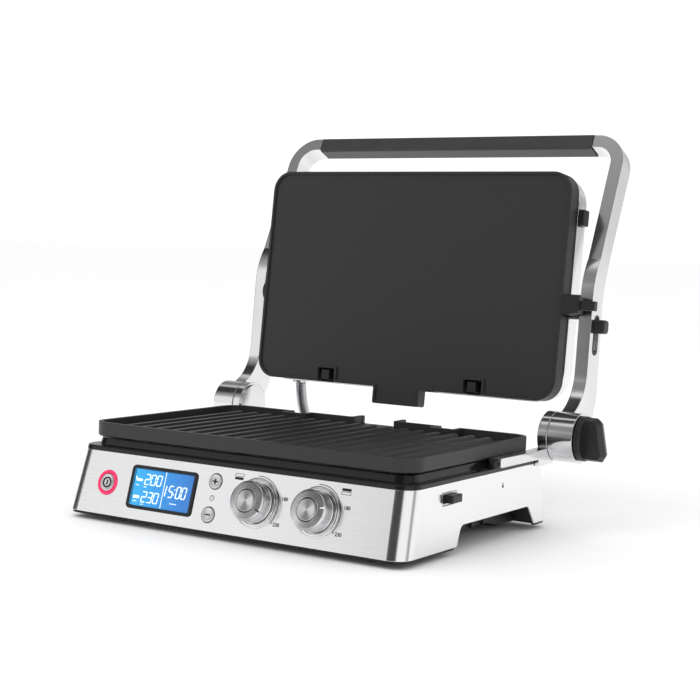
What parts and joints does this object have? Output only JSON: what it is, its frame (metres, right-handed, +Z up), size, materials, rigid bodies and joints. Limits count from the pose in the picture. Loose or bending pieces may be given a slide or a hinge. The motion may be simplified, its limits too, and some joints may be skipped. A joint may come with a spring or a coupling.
{
  "type": "panini press",
  "caption": "Open contact grill with a ribbed lower plate, a flat floating lid plate on a U-shaped handle, drum hinges and a front panel with display and dials.",
  "frame": {"origin": "on the worktop, midway between the sides and under the middle of the cooking plates", "axes": "+X to the right seen from the front panel, +Y to the rear, +Z up"},
  "size_m": [0.3712, 0.3408, 0.3138],
  "materials": {
    "steel": "brushed",
    "cast": "satin cast",
    "bright": "polished",
    "dial_metal": "turned",
    "black_gloss": "gloss",
    "black_plastic": "fine matte",
    "grip": "soft touch",
    "nonstick": "non-stick coating, fine speckle",
    "rubber": "matte",
    "reflector": "bright rolled",
    "element": "oxidised sheath",
    "board": "solder mask",
    "switch": "moulded",
    "lens": "clear",
    "display": "lit",
    "red_light": "translucent",
    "grey_button": "satin silver",
    "conduit": "wound metal hose",
    "screw": "plated"
  },
  "bodies": {
    "base": {"base_pan": "black_plastic", "steel_skirt": "steel", "top_deck": "black_gloss", "rear_panel": "black_plastic", "feet": "rubber", "lower_reflector": "reflector", "lower_heater": "element", "lower_probe": "cast", "lower_plate_clips": "black_plastic", "power_board": "board", "display_bezel": "black_gloss", "display_lens": "lens", "display_module": "display", "control_board": "board", "dial_encoders": "switch", "button_switches": "switch", "dial_rings": "bright", "power_ring": "red_light", "release_guide": "switch", "right_bracket": "cast", "left_bracket": "cast", "bracket_tips": "black_plastic", "hub_caps": "cast", "hinge_pins": "screw", "bracket_screws": "screw", "cord_gland": "black_plastic", "conduit_gland": "screw", "wire_conduit": "conduit"},
    "lower_plate": {"lower_plate": "nonstick"},
    "lower_release": {"lower_release": "black_plastic"},
    "drip_tray": {"drip_tray": "black_plastic"},
    "left_dial": {"left_dial": "dial_metal"},
    "right_dial": {"right_dial": "dial_metal"},
    "left_sear": {"left_sear": "dial_metal"},
    "right_sear": {"right_sear": "dial_metal"},
    "power_button": {"power_button": "grey_button"},
    "plus_button": {"plus_button": "grey_button"},
    "minus_button": {"minus_button": "grey_button"},
    "arms": {"right_arm": "cast", "left_arm": "cast", "handle_core": "screw", "handle_grip": "grip", "left_hub_plug": "cast"},
    "hub_knob": {"hub_knob": "black_plastic"},
    "lock_slider": {"lock_slider": "black_plastic"},
    "lid": {"lid_frame": "black_plastic", "lid_cover": "steel", "upper_reflector": "reflector", "upper_heater": "element", "upper_probe": "cast", "upper_plate_clips": "black_plastic", "pivot_pins": "screw", "left_pivot_boss": "black_plastic", "lid_gland": "screw", "lid_screws": "screw"},
    "upper_plate": {"upper_plate": "nonstick"},
    "upper_release": {"upper_release": "black_plastic"},
    "height_stop": {"height_stop": "black_plastic"}
  },
  "joints": [
    {"name": "arms_hinge", "type": "hinge", "parent": "base", "child": "arms", "pos_m": [0, 0.1185, 0.071], "axis": [1, 0, 0], "range_deg": [-83.7, 96.3], "deforming": ["wire_conduit"]},
    {"name": "lid_float", "type": "hinge", "parent": "arms", "child": "lid", "pos_m": [0, 0.15199, 0.17203], "axis": [-1, 0, 0], "range_deg": [-12, 0]},
    {"name": "upper_plate_off", "type": "slide", "parent": "lid", "child": "upper_plate", "axis": [0, 0.994, -0.1097], "range_m": [-0.05, 0]},
    {"name": "lower_plate_off", "type": "slide", "parent": "base", "child": "lower_plate", "axis": [0, 0, -1], "range_m": [-0.05, 0]},
    {"name": "tray_slide", "type": "slide", "parent": "base", "child": "drip_tray", "axis": [0, 1, 0], "range_m": [0, 0.085]},
    {"name": "left_dial_turn", "type": "hinge", "parent": "base", "child": "left_dial", "pos_m": [0.0256, -0.10425, 0.03019], "axis": [0, -0.9601, 0.2797], "range_deg": [-22, 123]},
    {"name": "right_dial_turn", "type": "hinge", "parent": "base", "child": "right_dial", "pos_m": [0.0782, -0.10425, 0.03019], "axis": [0, -0.9601, 0.2797], "range_deg": [-62, 83]},
    {"name": "left_sear_press", "type": "slide", "parent": "left_dial", "child": "left_sear", "axis": [0, 0.9601, -0.2797], "range_m": [0, 0.0015], "stiffness_N_per_m": 400, "springref_m": -0.0005},
    {"name": "right_sear_press", "type": "slide", "parent": "right_dial", "child": "right_sear", "axis": [0, 0.9601, -0.2797], "range_m": [0, 0.0015], "stiffness_N_per_m": 400, "springref_m": -0.0005},
    {"name": "power_button_press", "type": "slide", "parent": "base", "child": "power_button", "axis": [0, 0.9601, -0.2797], "range_m": [0, 0.001], "stiffness_N_per_m": 400, "springref_m": -0.0005},
    {"name": "plus_button_press", "type": "slide", "parent": "base", "child": "plus_button", "axis": [0, 0.9601, -0.2797], "range_m": [0, 0.001], "stiffness_N_per_m": 400, "springref_m": -0.0005},
    {"name": "minus_button_press", "type": "slide", "parent": "base", "child": "minus_button", "axis": [0, 0.9601, -0.2797], "range_m": [0, 0.001], "stiffness_N_per_m": 400, "springref_m": -0.0005},
    {"name": "lower_release_press", "type": "slide", "parent": "base", "child": "lower_release", "axis": [-1, 0, 0], "range_m": [0, 0.003], "stiffness_N_per_m": 600, "springref_m": -0.0005},
    {"name": "upper_release_press", "type": "slide", "parent": "lid", "child": "upper_release", "axis": [-1, 0, 0], "range_m": [0, 0.003], "stiffness_N_per_m": 600, "springref_m": -0.0005},
    {"name": "hub_knob_turn", "type": "hinge", "parent": "arms", "child": "hub_knob", "pos_m": [0.175, 0.1185, 0.071], "axis": [1, 0, 0], "range_deg": [0, 60]},
    {"name": "lock_slide", "type": "slide", "parent": "arms", "child": "lock_slider", "axis": [0, 0.0872, 0.9962], "range_m": [-0.009, 0]},
    {"name": "height_stop_turn", "type": "hinge", "parent": "lid", "child": "height_stop", "pos_m": [0.15, 0.15199, 0.17203], "axis": [1, 0, 0], "range_deg": [0, 28]}
  ]
}
